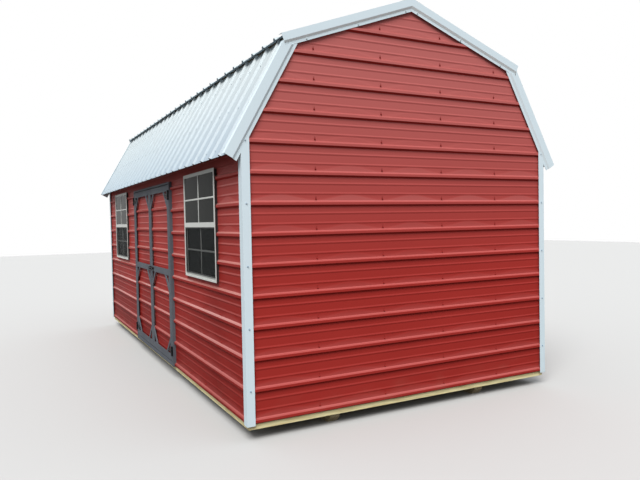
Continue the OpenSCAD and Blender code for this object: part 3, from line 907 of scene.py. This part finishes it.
def setWallScrews():
    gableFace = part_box("right_gable_siding")[0][0] + wall["sheet"]
    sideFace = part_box("back_siding")[0][1] + wall["sheet"]
    first = slack["screwRow"]
    up = (0, 0, slack["ribPitch"])
    rows = []
    for end in (1, -1):
        for side in (1, -1):
            for steps, count in wall["gableColumns"]:
                place = (end * gableFace, side * steps * studStep["gable"], first)
                rows.append(copyPiece(master, place, toGable[end], [(up, count)]))
        for steps, count in wall["frontColumns"]:
            place = (end * (windowMiddle + steps * studStep["front"]), -sideFace, first)
            rows.append(copyPiece(master, place, toFront, [(up, count)]))
    columns = wall["backColumns"]
    place = ((1 - columns) / 2 * studStep["back"], sideFace, first)
    across = (studStep["back"], 0, 0)
    rows.append(copyPiece(master, place, toBack, [(across, columns), (up, wall["backRows"])]))
    finished(joined(rows), "wall_screws", "building", screwSteel)


# rows of screws across the roof, beside the ribs, and on the ridge cap over them, as distances up the
# slope from the break; the first rib is that far in from the sheets' ends; and the screws up the corner
# trims and along the lips of the upper rake trims
roof = {
    "breakY": 1.052,
    "breakZ": 2.9276,
    "lowerPitch": math.radians(60.5),
    "upperPitch": math.radians(20),
    "sheetFace": 0.1026,
    "capFace": 0.1231,
    "firstRib": 0.143,
    "besideRib": 0.033,
    "ribs": 27,
    "lowerRows": (-0.94, -0.55, -0.16),
    "upperRows": (-0.03, 0.46, 0.95),
    "capRow": 1.075,
    "lipPlaces": (0.09, 0.58, 1.07),
    "lipMiddle": 0.0346,
    "lipBack": 0.012,
    "cornerLeg": 0.033,
    "cornerFirst": 0.379,
    "cornerRows": 5,
}


# y and z of a point on the front of the roof, so far up a slope from the break and so far out from it
def onSlope(pitch, along, square):
    y = -roof["breakY"] + along * math.cos(pitch) - square * math.sin(pitch)
    z = roof["breakZ"] + along * math.sin(pitch) + square * math.cos(pitch)
    return y, z


def setRoofScrews():
    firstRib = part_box("lower_roof_sheets")[1][0] - roof["firstRib"]
    firstScrew = firstRib + roof["besideRib"]
    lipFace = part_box("front_upper_rake_trims")[1][0] - roof["lipBack"]
    cornerX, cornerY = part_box("corner_trims")[1][:2]
    everyOther = (0, 0, 2 * slack["ribPitch"])
    along = (-slack["ribPitch"], 0, 0)
    upper = roof["upperPitch"]
    rows = []
    for end in (1, -1):
        for side in (1, -1):
            place = (end * cornerX, side * (cornerY - roof["cornerLeg"]), roof["cornerFirst"])
            rows.append(copyPiece(master, place, toGable[end], [(everyOther, roof["cornerRows"])]))
    for pitch, distances, face, first in (
            (roof["lowerPitch"], roof["lowerRows"], roof["sheetFace"], firstScrew),
            (upper, roof["upperRows"], roof["sheetFace"], firstScrew),
            (upper, [roof["capRow"]], roof["capFace"], firstRib)):
        for distance in distances:
            y, z = onSlope(pitch, distance, face)
            for side in (1, -1):
                place = (first, side * y, z)
                rows.append(copyPiece(master, place, (side * pitch, 0, 0), [(along, roof["ribs"])]))
    for distance in roof["lipPlaces"]:
        y, z = onSlope(upper, distance, roof["lipMiddle"])
        rows += [copyPiece(master, (end * lipFace, side * y, z), toGable[end])
                 for end in (1, -1) for side in (1, -1)]
    finished(joined(rows), "roof_screws", "building", roofSteel)


setWallScrews()
setRoofScrews()
bpy.data.objects.remove(master)
print("screws")


# round-headed bolts through the hinges and screws in the door boards; each head is a short shank, a
# shoulder and a crown, as shares of its radius and height
head = {
    "sides": 12,
    "shank": 0.4,
    "shoulder": (0.25, 0.35),
    "crown": (0.35, 0.25),
}
fittings = {
    "strapThick": 0.004,
    "pinX": 0.9185,
    "strapBolts": (0.045, 0.095, 0.145),
    "plateBolt": 0.0165,
    "plateRise": 0.036,
    "hingeIn": 0.107,
    "boltRadius": 0.0062,
    "boltHeight": 0.0035,
    "boardScrewRadius": 0.0035,
    "boardScrewHeight": 0.0008,
    "boardScrews": (0.031, 0.876, 0.072, 0.824),
    "railHalf": 0.032,
    "middleRail": 0.921,
    "spread": 0.018,
}
leafLow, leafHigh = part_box("right_door_boards")
boardFace = leafLow[1]


def modelHead(radius, height):
    shank = height * head["shank"]
    piece = addCylinder(head["sides"], radius, shank, (0, 0, shank / 2))
    startEdit(piece)
    pickFaces(lambda at, normal: normal.z > straight)
    for part in ("shoulder", "crown"):
        inward, upward = head[part]
        inset(radius * inward, height * upward)
    endEdit()
    return piece


def setFittings():
    bolt = modelHead(fittings["boltRadius"], fittings["boltHeight"])
    small = modelHead(fittings["boardScrewRadius"], fittings["boardScrewHeight"])
    strapFace = boardFace - fittings["strapThick"]
    pinX = fittings["pinX"]
    plateX = pinX + fittings["plateBolt"]
    hinges = (leafLow[2] + fittings["hingeIn"], leafHigh[2] - fittings["hingeIn"])
    rails = (leafLow[2] + fittings["railHalf"], leafLow[2] + fittings["middleRail"],
             leafHigh[2] - fittings["railHalf"])
    plates = []
    for side, body in ((1, "right_door"), (-1, "left_door")):
        straps = [copyPiece(bolt, (side * (pinX - reach), strapFace, z), toFront)
                  for z in hinges for reach in fittings["strapBolts"]]
        plates += [copyPiece(bolt, (side * plateX, strapFace, z + rise), toFront)
                   for z in hinges for rise in (fittings["plateRise"], -fittings["plateRise"])]
        heads = [copyPiece(small, (side * x, boardFace, z + rise), toFront)
                 for x in fittings["boardScrews"] for z in rails
                 for rise in (fittings["spread"], -fittings["spread"])]
        finished(joined(straps), body + "_strap_bolts", body, iron)
        finished(joined(heads), body + "_board_screws", body, iron)
    finished(joined(plates), "hinge_plate_bolts", "building", iron)
    for spare in (bolt, small):
        bpy.data.objects.remove(spare)


setFittings()
print("bolts")


# the latch's knob: a straight round pin in the barrel, with a domed end
knob = {
    "x": 0.085,
    "sides": 16,
    "radius": 0.0035,
    "inBarrel": 0.004,
    "outOfBarrel": 0.010,
    "domeInward": 0.00175,
    "domeHeight": 0.002,
}


def modelKnob():
    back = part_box("latch_bolt")[0][1] + knob["inBarrel"]
    length = knob["inBarrel"] + knob["outOfBarrel"]
    place = (knob["x"], back - length / 2, leafLow[2] + fittings["middleRail"])
    piece = addCylinder(knob["sides"], knob["radius"], length, place, toFront)
    startEdit(piece)
    pickFaces(lambda at, normal: normal.y < -straight)
    inset(knob["domeInward"], knob["domeHeight"])
    endEdit()
    finished(piece, "latch_knob", "right_door", iron)


modelKnob()
print("knob")


# the floor, the world and one broad soft lamp
stage = {
    "floorSize": 60,
    "floorSeen": (0.52, 0.515, 0.505),
    "floorThrown": (0.09, 0.085, 0.08),
    "floorRoughness": 0.9,
    "floorSpecular": 0.1,
    "skySeen": (1, 1, 1),
    "skyLow": (0.34, 0.36, 0.38),
    "skyHigh": (0.95, 1.0, 1.05),
    "lampStrength": 3.4,
    "lampColour": (1, 0.985, 0.97),
    "lampSpread": math.radians(36),
    "lampFrom": (0.66, -0.54, 1.0),
}


def addFloor():
    deselectAll()
    bpy.ops.mesh.primitive_plane_add(size=stage["floorSize"], location=(0, 0, 0))
    floor = bpy.context.object
    floor.name = "floor"
    paper = Finish("floorPaper", stage["floorSeen"], stage["floorRoughness"], stage["floorSpecular"])
    paper.set("Base Color", paper.mixed(paper.seenShare(), stage["floorThrown"], stage["floorSeen"]))
    floor.data.materials.append(paper.material)


def addSky():
    world = bpy.data.worlds.new("world")
    bpy.context.scene.world = world
    world.use_nodes = True
    world.node_tree.nodes.clear()
    sky = Tree(world.node_tree)
    height = sky.part(sky.add("ShaderNodeTexCoord").out("Generated"), "Z")
    light = sky.mixed(height.rise(0, 1), stage["skyLow"], stage["skyHigh"])
    lit = sky.add("ShaderNodeBackground", None, {"Color": light})
    seen = sky.add("ShaderNodeBackground", None, {"Color": stage["skySeen"]})
    both = sky.add("ShaderNodeMixShader", None, {0: sky.seenShare(), 1: lit, 2: seen})
    sky.add("ShaderNodeOutputWorld", None, {"Surface": both})


def addLamp():
    sun = bpy.data.lights.new("lamp", "SUN")
    sun.energy = stage["lampStrength"]
    sun.angle = stage["lampSpread"]
    sun.color = stage["lampColour"]
    lamp = bpy.data.objects.new("lamp", sun)
    lamp.rotation_euler = Vector(stage["lampFrom"]).to_track_quat("Z", "Y").to_euler()
    bpy.context.scene.collection.objects.link(lamp)


addFloor()
addSky()
addLamp()
bpy.context.scene.view_settings.view_transform = "Standard"
print("stage lit")
